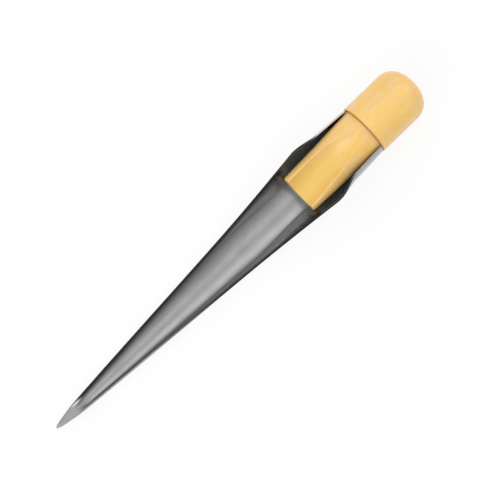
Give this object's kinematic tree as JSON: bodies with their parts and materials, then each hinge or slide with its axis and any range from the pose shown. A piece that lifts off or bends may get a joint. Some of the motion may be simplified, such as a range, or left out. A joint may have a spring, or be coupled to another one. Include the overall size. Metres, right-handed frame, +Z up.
{
  "type": "hollow marlinspike",
  "caption": "Hollow splicing spike: a tapered round-backed steel channel with a solid point, its tang wrapped round the neck of a turned wooden handle with a domed knob.",
  "frame": {"origin": "on the surface that the tool lies on, under the middle of its length, in its plane of symmetry", "axes": "+X towards the knob, -X towards the point, +Z up out of the open side of the channel; the tool lies on its back, on the knob's shoulder edge and the back of the blade"},
  "size_m": [0.2797, 0.0386, 0.0337],
  "materials": {
    "blade_steel": "satin, polished lengthwise",
    "handle_wood": "pale close-grained wood, clear satin lacquer",
    "pin_steel": "filed flush, satin"
  },
  "bodies": {
    "root": {"blade": "blade_steel", "handle": "handle_wood", "shoulder_pin": "pin_steel", "neck_pin": "pin_steel"}
  },
  "joints": []
}
